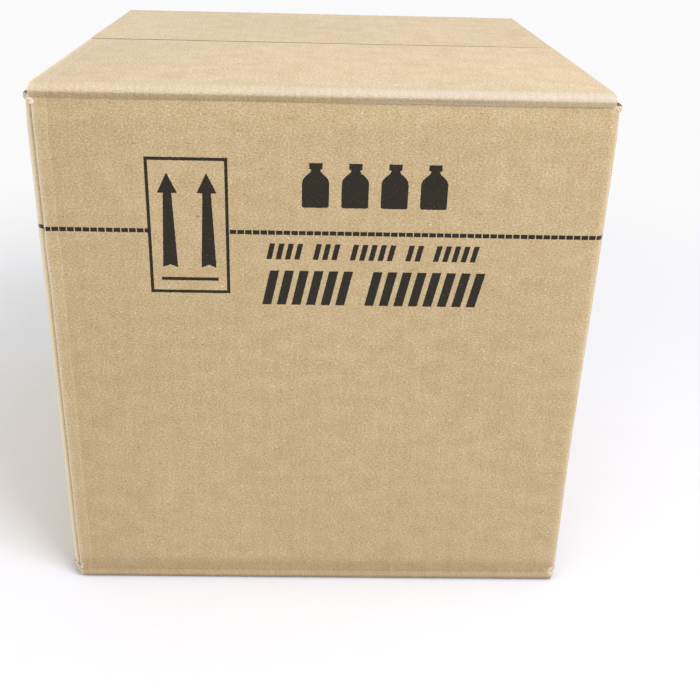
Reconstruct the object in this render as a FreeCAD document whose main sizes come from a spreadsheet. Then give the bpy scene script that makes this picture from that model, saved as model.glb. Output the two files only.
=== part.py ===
import FreeCAD, Part
import math
import os
import Sketcher

# A shut shipping carton for four gallon bottles: a regular slotted carton, made from one sheet
# of C-flute corrugated board. X runs along the front panel, the front panel faces -Y and +Z is
# up. The origin is the middle of the base, on the surface that the carton stands on.
# The front and back panels carry the outer flaps, which meet in a seam along X. The side panels
# carry the inner flaps, one board thickness further in.

DIMENSIONS = (
    ("width", 318, "outside, along the front panel"),
    ("depth", 318, "outside, front to back"),
    ("height", 318, "outside, over both pairs of flaps"),
    ("board", 4, "thickness of the C-flute board"),
    ("roll", 3.5, "outer radius of a folded flap score"),
    ("corner", 6, "outer radius of a vertical fold"),
    ("panel_inset", 0.4, "panel face behind the rolled edges"),
    ("score_depth", 1.3, "bottom of a pressed score behind the rolled edges"),
    ("top_score", 7.7, "outer flap score below the top"),
    ("base_score", 6.6, "outer flap score above the base"),
    ("top_swell", 18, "end of the panel's swell below the top"),
    ("base_swell", 16, "end of the panel's swell above the base"),
    ("slot_half", 4.7, "flap end in from the side panel's face"),
    ("slot_reach", 6.5, "end of a vertical fold below the top or above the base"),
    ("seam", 1.2, "gap between the two outer flaps"),
    ("joint_gap", 0.8, "gap beside the glued front panel's edge"),
    ("joint_depth", 1.6, "depth of that gap"),
    ("beyond", 20, "how far a cutting outline reaches past the carton"),
)


def fill_sheet(doc):
    """The driving dimensions, each with an alias."""
    sheet = doc.addObject("Spreadsheet::Sheet", "Dims")
    for row, (alias, value, meaning) in enumerate(DIMENSIONS, start=1):
        sheet.set(f"A{row}", alias)
        sheet.set(f"B{row}", str(value))
        sheet.set(f"C{row}", meaning)
        sheet.setAlias(f"B{row}", alias)
    doc.recompute()
    return sheet


def origin_plane(body, role):
    return next(f for f in body.Origin.OriginFeatures if f.Role == role)


def new_sketch(body, name, role, lift=None):
    """A sketch on one of the body's origin planes, lifted off it by an expression."""
    sketch = body.newObject("Sketcher::SketchObject", name)
    sketch.AttachmentSupport = (origin_plane(body, role), [""])
    sketch.MapMode = "FlatFace"
    if lift:
        sketch.setExpression("AttachmentOffset.Base.z", lift)
    return sketch


def corner(x, y):
    """A sharp corner of an outline, placed by two expressions."""
    return {"at": (x, y), "radius": None}


def rounded(x, y, radius):
    """A round corner of an outline: an arc about (x, y), tangent to the lines on both sides."""
    return {"at": (x, y), "radius": radius}


def rectangle(x_low, x_high, y_low, y_high):
    return [corner(x_low, y_low), corner(x_high, y_low), corner(x_high, y_high), corner(x_low, y_high)]


def hold(sketch, kind, geometry, point, expression, value):
    """A dimension of the sketch, bound to the spreadsheet."""
    parts = (kind, geometry, value) if point is None else (kind, geometry, point, value)
    index = sketch.addConstraint(Sketcher.Constraint(*parts))
    sketch.setExpression(f"Constraints[{index}]", expression)


def draw_outline(sketch, nodes):
    """Draws a closed outline, counter-clockwise, with every corner held by the spreadsheet."""
    START, END, CENTRE = 1, 2, 3
    centres, radii = [], []
    for node in nodes:
        x, y = (float(sketch.evalExpression(text)) for text in node["at"])
        centres.append(FreeCAD.Vector(x, y, 0))
        radii.append(float(sketch.evalExpression(node["radius"])) if node["radius"] else 0.0)

    count = len(nodes)
    normals = []  # the outward normal of the line that leaves each node
    for i in range(count):
        step = centres[(i + 1) % count] - centres[i]
        turn = math.acos((radii[i] - radii[(i + 1) % count]) / step.Length)
        normals.append(math.atan2(step.y, step.x) - turn)

    def on_node(i, normal):
        return centres[i] + FreeCAD.Vector(math.cos(normal), math.sin(normal), 0) * radii[i]

    lines, arcs = [], []
    for i in range(count):
        ends = on_node(i, normals[i]), on_node((i + 1) % count, normals[i])
        lines.append(sketch.addGeometry(Part.LineSegment(*ends)))
    for i in range(count):
        if not radii[i]:
            arcs.append(None)
            continue
        circle = Part.Circle(centres[i], FreeCAD.Vector(0, 0, 1), radii[i])
        first, last = normals[i - 1], normals[i]
        while last < first:
            last += 2 * math.pi
        arcs.append(sketch.addGeometry(Part.ArcOfCircle(circle, first, last)))

    for i, node in enumerate(nodes):
        arriving, leaving, arc = lines[i - 1], lines[i], arcs[i]
        if arc is None:
            sketch.addConstraint(Sketcher.Constraint("Coincident", arriving, END, leaving, START))
            held, point = leaving, START
        else:
            sketch.addConstraint(Sketcher.Constraint("Tangent", arriving, END, arc, START))
            sketch.addConstraint(Sketcher.Constraint("Tangent", arc, END, leaving, START))
            hold(sketch, "Radius", arc, None, node["radius"], radii[i])
            held, point = arc, CENTRE
        hold(sketch, "DistanceX", held, point, node["at"][0], centres[i].x)
        hold(sketch, "DistanceY", held, point, node["at"][1], centres[i].y)


def cut(body, name, sketch, depth=None, upward=False):
    """Cuts a sketch's outlines out of the body: to a depth, or right through both ways."""
    before = body.Shape.Volume
    pocket = body.newObject("PartDesign::Pocket", name)
    pocket.Profile = sketch
    if depth:
        pocket.setExpression("Length", depth)
        pocket.Reversed = upward
    else:
        pocket.Type = "ThroughAll"
        pocket.Midplane = True
    body.Document.recompute()
    if not pocket.Shape.Volume < before:
        raise RuntimeError(f"{name} removes nothing")
    return pocket


def mirrored(nodes):
    """An outline's right half, from bottom to top, with its mirror image on the left."""
    left = [dict(node, at=(f"-({node['at'][0]})", node["at"][1])) for node in reversed(nodes)]
    return nodes + left


def rolled_edges(half, base, top):
    """The right half of a panel's section across its flap folds: rolled edge, pressed score,
    swell, flat panel, swell, pressed score, rolled edge."""
    face = f"{half} - Dims.panel_inset"
    pressed = f"{half} - Dims.score_depth"
    roll_centre = f"{half} - Dims.roll"
    return [
        rounded(roll_centre, f"{base} + Dims.roll", "Dims.roll"),
        corner(pressed, f"{base} + Dims.base_score"),
        corner(face, f"{base} + Dims.base_swell"),
        corner(face, f"{top} - Dims.top_swell"),
        corner(pressed, f"{top} - Dims.top_score"),
        rounded(roll_centre, f"{top} - Dims.roll", "Dims.roll"),
    ]


def trim(body, name, role, half, outline):
    """Trims the body to an outline, by cutting away the ring between it and a larger box."""
    sketch = new_sketch(body, f"{name}Outline", role)
    reach = f"{half} + Dims.beyond"
    draw_outline(sketch, rectangle(f"-({reach})", reach, "-Dims.beyond", "Dims.height + Dims.beyond"))
    draw_outline(sketch, outline)
    body.Document.recompute()
    cut(body, name, sketch)


def make_block(body):
    """The carton's block, with its four vertical folds rounded."""
    sketch = new_sketch(body, "PlanOutline", "XY_Plane")
    x, y = "Dims.width / 2 - Dims.corner", "Dims.depth / 2 - Dims.corner"
    signs = ((-1, -1), (1, -1), (1, 1), (-1, 1))
    draw_outline(sketch, [rounded(f"{i} * ({x})", f"{j} * ({y})", "Dims.corner") for i, j in signs])
    pad = body.newObject("PartDesign::Pad", "Block")
    pad.Profile = sketch
    pad.setExpression("Length", "Dims.height")
    body.Document.recompute()


def fold_outer_flaps(body):
    """Front and back: the panels roll over into the outer flaps, at the full height."""
    half = "Dims.depth / 2"
    trim(body, "OuterFlapFolds", "YZ_Plane", half, mirrored(rolled_edges(half, "0", "Dims.height")))


def fold_inner_flaps(body):
    """Sides: the panels roll over into the inner flaps, one board further in, under the cut ends
    of the outer flaps."""
    half, flap_end = "Dims.width / 2", "Dims.width / 2 - Dims.slot_half"
    under_top = "Dims.height - Dims.board"
    edges = rolled_edges(half, "Dims.board", under_top)
    ends = [corner(flap_end, "0"), corner(flap_end, "Dims.board")]
    top_ends = [corner(flap_end, under_top), corner(flap_end, "Dims.height")]
    trim(body, "InnerFlapFolds", "XZ_Plane", half, mirrored(ends + edges + top_ends))


def at_both_levels(body, name, outlines, depth):
    """The same cut in the top, downward, and in the base, upward."""
    for level, lift, upward in (("Top", "Dims.height", False), ("Base", None, True)):
        sketch = new_sketch(body, f"{name}{level}Outline", "XY_Plane", lift)
        for outline in outlines:
            draw_outline(sketch, outline)
        body.Document.recompute()
        cut(body, f"{name}{level}", sketch, depth, upward)


def cut_corner_slots(body):
    """The slots between neighbouring flaps, which end each vertical fold short of the edges."""
    low_x, low_y = "Dims.width / 2 - Dims.slot_half", "Dims.depth / 2 - Dims.slot_half"
    high_x, high_y = "Dims.width / 2 + Dims.beyond", "Dims.depth / 2 + Dims.beyond"
    right, left = (low_x, high_x), (f"-({high_x})", f"-({low_x})")
    back, front = (low_y, high_y), (f"-({high_y})", f"-({low_y})")
    slots = [rectangle(*across, *along) for across in (left, right) for along in (front, back)]
    at_both_levels(body, "CornerSlots", slots, "Dims.slot_reach")


def cut_seams(body):
    """The gap where the two outer flaps meet, on the top and on the base."""
    reach, half_gap = "Dims.width / 2 + Dims.beyond", "Dims.seam / 2"
    seam = rectangle(f"-({reach})", reach, f"-({half_gap})", half_gap)
    at_both_levels(body, "FlapSeam", [seam], "Dims.board")


def cut_joint_edge(body):
    """The glued joint: the front panel's cut left edge stands off the side panel's fold."""
    edge, front = "-(Dims.width / 2 - Dims.slot_half)", "-(Dims.depth / 2)"
    gap = rectangle(f"{edge} - Dims.joint_gap", edge, f"{front} - Dims.beyond", f"{front} + Dims.joint_depth")
    sketch = new_sketch(body, "JointEdgeOutline", "XY_Plane")
    draw_outline(sketch, gap)
    body.Document.recompute()
    cut(body, "JointEdge", sketch, "Dims.height", upward=True)


def make_carton(doc):
    body = doc.addObject("PartDesign::Body", "carton")
    body.Label = "carton"
    body.Placement = FreeCAD.Placement()
    for feature in (make_block, fold_outer_flaps, fold_inner_flaps, cut_corner_slots, cut_seams, cut_joint_edge):
        feature(body)
    return body


def check(doc, sub_parts):
    for obj in doc.Objects:
        if "Invalid" in obj.State or "Error" in obj.State:
            raise RuntimeError(f"{obj.Label} failed: {obj.State}")
    for part in sub_parts:
        if part.Shape.isNull() or not part.Shape.isValid() or len(part.Shape.Solids) != 1:
            raise RuntimeError(f"{part.Label} is not one valid solid")


doc = FreeCAD.newDocument("ShippingCarton")
fill_sheet(doc)
sub_parts = [make_carton(doc)]
doc.recompute()
check(doc, sub_parts)
os.makedirs("parts", exist_ok=True)
for part in sub_parts:
    part.Shape.exportStep(f"parts/{part.Label}.step")
    size = part.Shape.BoundBox
    print(part.Label, size.XLength, size.YLength, size.ZLength, "volume", part.Shape.Volume)
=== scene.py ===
import math
import random
from typing import NamedTuple

import bmesh
import bpy
from bpy.props import FloatProperty, FloatVectorProperty, PointerProperty
from mathutils import Matrix, Vector, noise


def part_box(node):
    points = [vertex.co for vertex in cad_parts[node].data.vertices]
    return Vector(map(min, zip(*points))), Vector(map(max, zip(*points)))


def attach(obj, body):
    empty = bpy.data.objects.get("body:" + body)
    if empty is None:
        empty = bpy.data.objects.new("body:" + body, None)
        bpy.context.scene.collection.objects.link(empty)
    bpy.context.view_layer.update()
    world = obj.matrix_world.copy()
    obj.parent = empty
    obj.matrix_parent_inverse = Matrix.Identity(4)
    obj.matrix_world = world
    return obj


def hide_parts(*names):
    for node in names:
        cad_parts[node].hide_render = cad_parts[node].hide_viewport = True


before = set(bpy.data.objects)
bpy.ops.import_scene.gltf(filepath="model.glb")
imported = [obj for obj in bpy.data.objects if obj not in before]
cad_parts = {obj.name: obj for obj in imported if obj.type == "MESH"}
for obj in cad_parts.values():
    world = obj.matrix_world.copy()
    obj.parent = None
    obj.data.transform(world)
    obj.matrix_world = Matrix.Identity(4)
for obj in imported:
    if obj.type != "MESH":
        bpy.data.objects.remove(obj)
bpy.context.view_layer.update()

bl_info = {
    "name": "Corrugated Shipping Carton",
    "version": (1, 0, 0),
    "blender": (4, 5, 0),
    "location": "3D View > Sidebar > Carton",
    "description": "Presses, folds and prints a shut C-flute carton around its frame",
    "category": "Add Mesh",
}

# The carton is made the way a box maker makes it: one flat blank of corrugated board is scored,
# slotted and printed, and then folded up. On the flat blank "along" runs round the carton from
# the middle of the front panel, and "up" is the height. The blank's map holds both, in metres,
# so the paper's grain, the flutes and the print follow the board round every fold.

LOW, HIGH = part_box("carton")
MM = 0.001
CLOSE = 1e-6
QUARTER = math.pi / 2

# The paper's gloss, the fuzz of its fibres and how high they stand, the same all over.
GLOSS = 0.25
SHEEN = 0.3
PAPER_RELIEF = 0.06 * MM

# How thick the board is in a vertical fold and in the glue lap, how deep the valley is beside the
# glued edge, and how thick a torn flake is.
FOLD_BOARD = 3 * MM
LAP_BOARD = 2.4 * MM
VALLEY = 0.14 * MM
FLAKE_THICKNESS = 0.2 * MM

# The flaps' two levels, and the way outward at each on the blank.
LEVELS = {"top": 1, "base": -1}

# A line cuts the faces whose middle is this near to it.
CUT_REACH = 0.03

# Half widths of an arrow's tail, waist and barbs, in millimetres.
ARROW_HALF_WIDTHS = (4.2, 2.35, 5.5)

# A bottle's outline: share of its height and half width in millimetres, from base to cap.
BOTTLE_HALF_WIDTHS = (
    (0, 6.6), (0.03, 7.4), (0.56, 7.4), (0.64, 6.9), (0.72, 5.2), (0.79, 3.1),
    (0.83, 2.5), (0.86, 2.5), (0.865, 3.6), (1, 3.6),
)

# Where a dash starts, as a share of the way from the frame's right edge to the next dash.
DASH_START = 0.08

# The biggest shives and pale flecks of the front panel and its top flap: place from its middle and
# above the base and half their width, in millimetres, then strength and colour.
SPECKS = (
    (-68, 247.5, 1.1, 0.9, "dark"),
    (-55.9, 206.3, 1.0, 0.9, "worn_and_lit"),
    (-68.4, 170.9, 0.8, 0.8, "worn_and_lit"),
    (-70.5, 109.6, 0.8, 0.8, "worn_and_lit"),
    (-20.1, 105.4, 0.8, 0.8, "worn_and_lit"),
    (136, 343, 1.5, 0.9, "worn_and_lit"),
    (106, 395, 1.8, 0.9, "worn_and_lit"),
)

# Material slots of the board's mesh.
OUTSIDE, INSIDE, CUT_LINER, HOLLOW = range(4)


def size(name, description, millimetres):
    """A length that the user can change."""
    return FloatProperty(
        name=name, description=description, default=millimetres * MM,
        unit="LENGTH", subtype="DISTANCE", precision=5,
    )


def share(name, description, default):
    """A share from 0 to 1."""
    return FloatProperty(name=name, description=description, default=default, min=0, max=1, subtype="FACTOR")


def turn(name, description, degrees):
    return FloatProperty(
        name=name, description=description, default=math.radians(degrees),
        unit="ROTATION", subtype="ANGLE",
    )


def watts(name, description, power):
    """A lamp's power."""
    return FloatProperty(name=name, description=description, default=power, unit="POWER")


def linear(part):
    part /= 255
    return part / 12.92 if part <= 0.04045 else ((part + 0.055) / 1.055) ** 2.4


def colour(name, description, red, green, blue):
    """A colour, given as a paint chart gives it, from 0 to 255."""
    return FloatVectorProperty(
        name=name, description=description, default=[linear(part) for part in (red, green, blue)],
        subtype="COLOR", size=3, min=0, max=1,
    )


class CartonSizes(bpy.types.PropertyGroup):
    margin: size("Margin", "Room for unevenness inside the carton's outer size", 0.27)
    board: size("Board", "Thickness of the corrugated board", 3.9)
    liner: size("Liner", "Thickness of each of the two flat papers", 0.35)
    medium: size("Medium", "Thickness of the fluted paper between the liners", 0.25)
    flute: size("Flute pitch", "From one flute to the next", 7.9)
    corner: size("Corner radius", "Outer radius of a vertical fold", 6)
    face_inset: size("Face inset", "A panel's face behind the nose of its rolled edges", 0.6)
    score_inset: size("Score inset", "A top score behind the nose of its rolled edge", 1.6)
    base_inset: size("Base inset", "A base score behind the nose of its rolled edge", 0.8)
    nose: size("Nose radius", "Outer radius of a top roll at its nose", 1.5)
    over: turn("Nose turn", "How far a top roll's nose turns past upright", 20)
    roll: size("Roll radius", "Outer radius of a top roll above its nose", 3.9)
    base_roll: size("Base roll radius", "Outer radius of a folded score at the base", 3.1)
    shoulder: size("Shoulder", "Where a top roll meets its flap, behind the nose", 4.65)
    facet: turn("Shoulder turn", "How sharply a top roll meets its flap", 20)
    wander: size("Score wander", "How far a score strays from its straight line", 0.35)
    top_score: size("Top score", "Flap score below the top", 7.7)
    base_score: size("Base score", "Flap score above the base", 6.6)
    top_swell: size("Top swell", "Where a panel starts to lean in to its top score", 18)
    base_swell: size("Base swell", "Where a panel starts to lean in to its base score", 16)
    slot_half: size("Slot half", "Flap end in from the side panel's face", 4.7)
    slot_end: size("Slot end", "End of a vertical fold below the top or above the base", 6.5)
    seam: size("Seam", "Gap between the two outer flaps", 1.2)
    crushed: size("Crushed board", "Thickness of the board in a flap's roll", 2.1)
    joint_step: size("Joint step", "Glue lap behind the glued panel's face", 3.1)
    lap: size("Lap", "Width of the glue lap", 35)
    lap_line: size("Lap line", "Where the glued panel starts to stand out, from the side face", 13.7)
    trim: size("Trim", "How far the glued panel's edge is cut back between its slots", 1.4)
    slip: size("Slip", "How far the base flaps slide along the carton as they fold", 1.5)
    lap_rise: size("Lap rise", "How far the glued panel's edge stands out", 0.62)
    uneven: size("Unevenness", "How far the panels wander from flat", 0.16)
    bow: size("Corner bow", "How far the right front fold is pushed in", 0.8)
    spacing: size("Mesh spacing", "Size of the faces on the flat panels", 11)


class CartonPaper(bpy.types.PropertyGroup):
    kraft: colour("Kraft", "Colour of the outer liner", 204, 178, 133)
    # Also the colour of the painted shade at the flutes, folds, scores, base roll and the panel's upper
    # left.
    dark: colour("Dark fibres", "Colour of the darkest fibres", 150, 122, 84)
    pale: colour("Pale fibres", "Colour of the palest fibres", 228, 210, 176)
    # Also the colour of painted light: beside the glued fold, under the top roll and on the glued panel's
    # slope and ridge.
    worn_and_lit: colour("Worn", "Colour of scuffed and torn fibres", 232, 217, 186)
    inside: colour("Inner liner", "Colour of the inner liner", 186, 160, 122)
    medium: colour("Medium", "Colour of the fluted paper", 168, 140, 101)
    # Paler than the kraft, as torn fibres are, and paler still as painted light where the flakes catch it.
    torn: colour("Torn liner", "Colour of the liner's torn flakes", 240, 226, 198)
    ink: colour("Ink", "Colour of the print", 19, 15, 9)
    # Pale grey for the painted sheen on the top roll and the painted glint along its score.
    glint: colour("Burnished score", "Colour of the score where the tool has polished it", 205, 200, 194)
    grain: share("Grain", "Strength of the fibres' light and dark", 0.56)
    roughness: share("Roughness", "Roughness of the bare paper", 0.82)


class CartonPrint(bpy.types.PropertyGroup):
    line: size("Line height", "Middle of the dashed line above the base", 238.9)
    line_width: size("Line width", "Thickness of the dashed line", 2.45)
    dash: size("Dash", "Length of a dash", 3.72)
    dash_pitch: size("Dash pitch", "From one dash to the next", 4.26)
    frame_left: size("Frame left", "Left edge of the arrows' frame from the panel's middle", -96.1)
    frame_right: size("Frame right", "Right edge of the arrows' frame", -51.3)
    frame_base: size("Frame base", "Lower edge of the arrows' frame above the base", 202.1)
    frame_top: size("Frame top", "Upper edge of the arrows' frame", 280.5)
    frame_line: size("Frame line", "Thickness of the arrows' frame", 1.8)
    arrow_gap: size("Arrow gap", "From one arrow's middle to the other's", 21.5)
    arrow_base: size("Arrow base", "Tail of the arrows above the base", 217.5)
    arrow_neck: size("Arrow neck", "Barbs of the arrows above the base", 260.6)
    arrow_tip: size("Arrow tip", "Tip of the arrows above the base", 272)
    bar: size("Bar height", "Middle of the bar under the arrows", 210.65)
    bar_half: size("Bar half length", "From the bar's middle to its end", 15.95)
    bar_rise: size("Bar half thickness", "From the bar's middle to its edge", 0.95)
    bottle_left: size("Bottles left", "Left end of the row of bottles from the panel's middle", -14.6)
    bottle_pitch: size("Bottle pitch", "From one bottle to the next", 21.6)
    bottle_base: size("Bottle base", "Foot of the bottles above the base", 253.6)
    bottle_top: size("Bottle top", "Cap of the bottles above the base", 278.6)


class CartonStudio(bpy.types.PropertyGroup):
    floor: colour("Floor", "Colour of the floor near the carton", 234, 235, 238)
    backdrop: colour("Backdrop", "Colour of the floor far from the carton", 250, 250, 250)
    bounce: FloatProperty(
        name="Bounce", description="How much light the floor gives back", default=0.35, min=0)
    sky: FloatProperty(name="Sky", description="Strength of the room's light", default=0.58, min=0)
    top: watts("Top", "Power of the overhead lamp", 9.4)
    key: watts("Key", "Power of the lamp at the right", 36.5)
    fill: watts("Fill", "Power of the lamp at the front left", 5.5)
    side: watts("Side", "Power of the low lamp at the left", 4.5)


class Strokes(NamedTuple):
    """A printed row of strokes in numbered slots, some of them empty, in millimetres."""
    left: float
    pitch: float
    stroke: float
    gaps: tuple
    count: int
    low: float
    high: float
    slant: float = 0.22


STROKES = (
    Strokes(-30.8, 5.2, 3.0, (4, 8, 14, 17), 23, 223.2, 232.6),
    Strokes(-33.3, 8.34, 5.2, (6,), 15, 195.7, 216.5),
)


class Panel(NamedTuple):
    """A panel of the blank: where it starts and ends along it, and how much deeper its flaps tuck."""
    first: float
    last: float
    flap_first: float
    flap_last: float
    tuck: float

    @property
    def middle(self):
        return (self.first + self.last) / 2


class Crease(NamedTuple):
    """A line across a flap, as far beyond its score as `beyond`, and how far it turns inward."""
    beyond: float
    turn: float


class Blank:
    """The flat blank's lines, worked out from the frame's box and the sizes."""

    def __init__(self, sizes):
        self.sizes = sizes
        self.low = LOW + Vector((1, 1, 1)) * sizes.margin
        self.high = HIGH - Vector((1, 1, 1)) * sizes.margin
        self.face = self.low.y + sizes.face_inset
        self.bend = (sizes.corner - sizes.face_inset) * QUARTER
        self.bend_steps = 8
        self.panels = self.lay_panels()
        self.folds = list(zip(self.panels, self.panels[1:]))
        self.slot_top = HIGH.z - sizes.slot_end
        self.slot_base = LOW.z + sizes.slot_end
        self.left_edge = self.panels[0].flap_first
        self.right_edge = self.panels[-1].last
        self.insets = {"top": sizes.score_inset, "base": sizes.base_inset}
        self.creases = {
            "top": self.lay_creases(
                sizes.score_inset, sizes.top_score - sizes.margin, sizes.nose, sizes.over,
                sizes.roll, sizes.shoulder, sizes.facet),
            "base": self.lay_creases(
                sizes.base_inset, sizes.base_score - sizes.margin, sizes.base_roll, 0,
                sizes.base_roll, sizes.base_roll, 0),
        }
        self.dents = self.lay_dents()

    def lay_panels(self):
        """Front, right, back and left panel and the glue lap, in their order along the blank."""
        sizes = self.sizes
        across = self.high.x - self.low.x - 2 * sizes.corner
        deep = self.high.y - self.low.y - 2 * sizes.corner
        overhang = sizes.corner - sizes.slot_half
        spans = ((across, 0), (deep, sizes.board), (across, 0), (deep - sizes.joint_step, sizes.board))
        panels, first = [], -across / 2
        for length, tuck in spans:
            last = first + length
            panels.append(Panel(first, last, first - overhang, last + overhang, tuck))
            first = last + self.bend
        panels.append(Panel(first, first + sizes.lap, first, first + sizes.lap, 0))
        return panels

    def lay_creases(self, inset, score, nose, over, roll, shoulder, facet):
        """A flap's fold: out from the score, round the nose, over the roll and down the shoulder."""
        round_nose = nose * (1 - math.cos(over))
        round_roll = roll * (math.cos(over) - math.sin(facet))
        slope = (shoulder - round_nose - round_roll) / math.cos(facet)
        above = nose * math.sin(over) + roll * (math.cos(facet) - math.sin(over)) + slope * math.sin(facet)
        rise, ahead = score - above, inset - nose
        out = math.atan2(ahead, rise) + math.asin(nose / math.hypot(rise, ahead))
        beyond = (inset - nose * (1 - math.cos(out))) / math.sin(out)
        creases = [Crease(0, -out)]
        for radius, whole, steps in ((nose, out + over, 5), (roll, QUARTER - facet - over, 7)):
            creases.append(Crease(beyond, whole / steps / 2))
            for step in range(1, steps + 1):
                beyond += 2 * radius * math.sin(whole / steps / 2)
                creases.append(Crease(beyond, whole / steps / (2 if step == steps else 1)))
        if facet:
            creases.append(Crease(beyond + slope, facet))
        return creases

    def lay_dents(self):
        """A few shallow dents: place along and up, reach and depth."""
        draw = random.Random(11)
        dents = []
        for panel in self.panels[1:4]:
            for _ in range(5):
                along = draw.uniform(panel.first + 0.03, panel.last - 0.03)
                up = draw.uniform(0.03, HIGH.z - 0.03)
                dents.append((along, up, draw.uniform(8, 26) * MM, draw.uniform(0.1, 0.4) * MM))
        return dents

    def score(self, panel, level):
        """Height of a panel's flap score on the blank."""
        if level == "top":
            return self.high.z - (self.sizes.top_score - self.sizes.margin) - panel.tuck
        return self.low.z + (self.sizes.base_score - self.sizes.margin) + panel.tuck

    def shoulder(self, panel, level):
        """Height on the blank of the last crease of a flap's fold."""
        return self.score(panel, level) + LEVELS[level] * self.creases[level][-1].beyond

    def flap_edge(self, panel, level):
        """Height on the blank of a flap's free edge."""
        sizes = self.sizes
        half = (self.high.y - self.low.y) / 2
        start = sizes.shoulder if level == "top" else sizes.base_roll
        gap = sizes.seam / 2 if panel.tuck == 0 else 0.15 * MM
        return self.shoulder(panel, level) + LEVELS[level] * (half - start - gap)

    def flap_panel(self, along, up):
        """Number of the panel whose flap holds this place, or None below and between the flaps."""
        if self.slot_base - CLOSE <= up <= self.slot_top + CLOSE:
            return None
        for number, panel in enumerate(self.panels[:4]):
            if panel.flap_first - CLOSE <= along <= panel.flap_last + CLOSE:
                return number
        return len(self.panels) - 1

    def lean(self, panel, up):
        """How far a panel leans in towards its scores."""
        sizes = self.sizes
        to_top = (up - self.score(panel, "top")) / (sizes.top_swell - sizes.top_score) + 1
        to_base = (self.score(panel, "base") - up) / (sizes.base_swell - sizes.base_score) + 1
        at_top = (sizes.score_inset - sizes.face_inset) * min(1, max(0, to_top))
        at_base = (sizes.base_inset - sizes.face_inset) * min(1, max(0, to_base))
        return max(at_top, at_base)

    def creased(self, along, up, reach):
        """How much a flap's fold holds the board here: all of it in the fold, none beyond its reach."""
        most = 0
        for panel, share in self.hold(along):
            for level in LEVELS:
                score, shoulder = self.score(panel, level), self.shoulder(panel, level)
                past = max(min(score, shoulder) - up, up - max(score, shoulder), 0)
                most = max(most, share * fades(past, reach))
        return most

    def stray(self, along, up):
        """How far a score's fold strays up or down its panel here."""
        slow = waver(along / 0.07, 3.1 if up > HIGH.z / 2 else 8.4, 2)
        quick = waver(along / 0.02, 6.2, 4)
        return self.creased(along, up, 14 * MM) * self.sizes.wander * (1.6 * slow + 0.45 * quick)

    def slid(self, along, up):
        """How far the board is moved along the carton here: base flaps slip, the glued edge is cut back."""
        sizes = self.sizes
        moved = sizes.slip * smooth((self.slot_base - up) / (1.4 * MM))
        inside = min(up - self.slot_base, self.slot_top - up)
        if inside > 0:
            at_edge = fades(along - self.left_edge, 5 * MM)
            uneven = 1 + 0.35 * waver(0, up / 0.03, 7)
            moved += sizes.trim * at_edge * uneven * smooth(inside / (3 * MM))
        return moved

    def pressed_and_shaded(self, along, up):
        """How much the fibres are squeezed and how much painted shade falls here: most in a score, less
        beyond it, furthest above the base score.
        """
        most = 0
        for panel, share in self.hold(along):
            for level, sign, strength, reach in (("top", 1, 0.3, 3.4), ("base", -1, 1, 12)):
                past = sign * (up - self.score(panel, level))
                fade = 1 - past / (reach * MM) if past > 0 else 1 + past / (0.9 * MM)
                most = max(most, strength * share * fade)
        return most

    def hold(self, along):
        """The panels near a place along the blank, each with its hold on the board there."""
        holds = []
        for panel in self.panels[:4]:
            past = max(panel.flap_first - along, along - panel.flap_last, 0)
            reach = self.bend / 2 - (panel.flap_last - panel.last)
            if past < reach:
                holds.append((panel, fades(past, reach)))
        return holds

    def relief(self, along, up):
        """How far the board's outer face stands out from flat, before it is folded."""
        sizes = self.sizes
        out = -sum(self.lean(panel, up) * share for panel, share in self.hold(along))
        slow = waver(along / 0.12, up / 0.09, 1.7)
        quick = waver(along / 0.04, up / 0.05, 5.2)
        out += sizes.uneven * (slow + 0.35 * quick)
        beat = 0.6 + 0.8 * waver(along / 0.016, up / 0.012, 9)
        flutes = math.cos(2 * math.pi * along / sizes.flute)
        out += self.creased(along, up, 7 * MM) * beat * flutes * 0.11 * MM
        for place, height, reach, depth in self.dents:
            far = math.hypot(along - place, up - height) / reach
            if far < 1:
                out -= depth * fades(far, 1)
        return out + self.glued_edge(along, up)

    def glued_edge(self, along, up):
        """The front panel's left edge stands out over the glue lap, beyond a shallow valley."""
        sizes = self.sizes
        line = LOW.x + sizes.lap_line
        if along > line + 10 * MM or not self.slot_base < up < self.slot_top:
            return 0
        if along > line:
            return -VALLEY * fades(along - line, 9 * MM)
        climb = (line - along) / (line - self.left_edge)
        return -VALLEY + (sizes.lap_rise + VALLEY) * climb

    def thickness(self, along, up):
        """The board's thickness: full on the panels, crushed at the folds and under the glue."""
        sizes = self.sizes
        full = sizes.board + (sizes.crushed - sizes.board) * self.creased(along, up, 7 * MM)
        for before, after in self.folds:
            past = max(before.last - along, along - after.first, 0)
            crush = fades(past, 4 * MM)
            full = min(full, sizes.board + (FOLD_BOARD - sizes.board) * crush)
        lap = self.panels[-1]
        if along > lap.first:
            full = min(full, LAP_BOARD)
        if along < self.left_edge + sizes.lap + 2 * MM:
            full = min(full, sizes.joint_step - 0.3 * MM)
        return full


def smooth(share):
    """0 below 0, 1 above 1 and an easy curve between."""
    share = min(1, max(0, share))
    return share * share * (3 - 2 * share)


def fades(past, reach):
    """1 at a line and 0 a reach past it, with an easy curve between."""
    return 1 - smooth(past / reach)


def waver(*place):
    """A smooth wave that looks random and is the same each time."""
    return noise.noise(Vector(place))


def middle_of(face):
    return face.calc_center_median()


def faces_where(bm, test):
    return [face for face in bm.faces if test(middle_of(face))]


def cut(bm, faces, place, normal):
    """Cuts faces along a line of the flat blank."""
    edges = {edge for face in faces for edge in face.edges}
    verts = {vert for face in faces for vert in face.verts}
    bmesh.ops.bisect_plane(bm, geom=[*verts, *edges, *faces], dist=CLOSE, plane_co=place, plane_no=normal)


def cut_upright(bm, along):
    faces = faces_where(bm, lambda at: abs(at.x - along) < CUT_REACH)
    cut(bm, faces, (along, 0, 0), (1, 0, 0))


def cut_level(bm, up, test):
    faces = faces_where(bm, lambda at: abs(at.z - up) < CUT_REACH and test(at))
    cut(bm, faces, (0, 0, up), (0, 0, 1))


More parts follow.
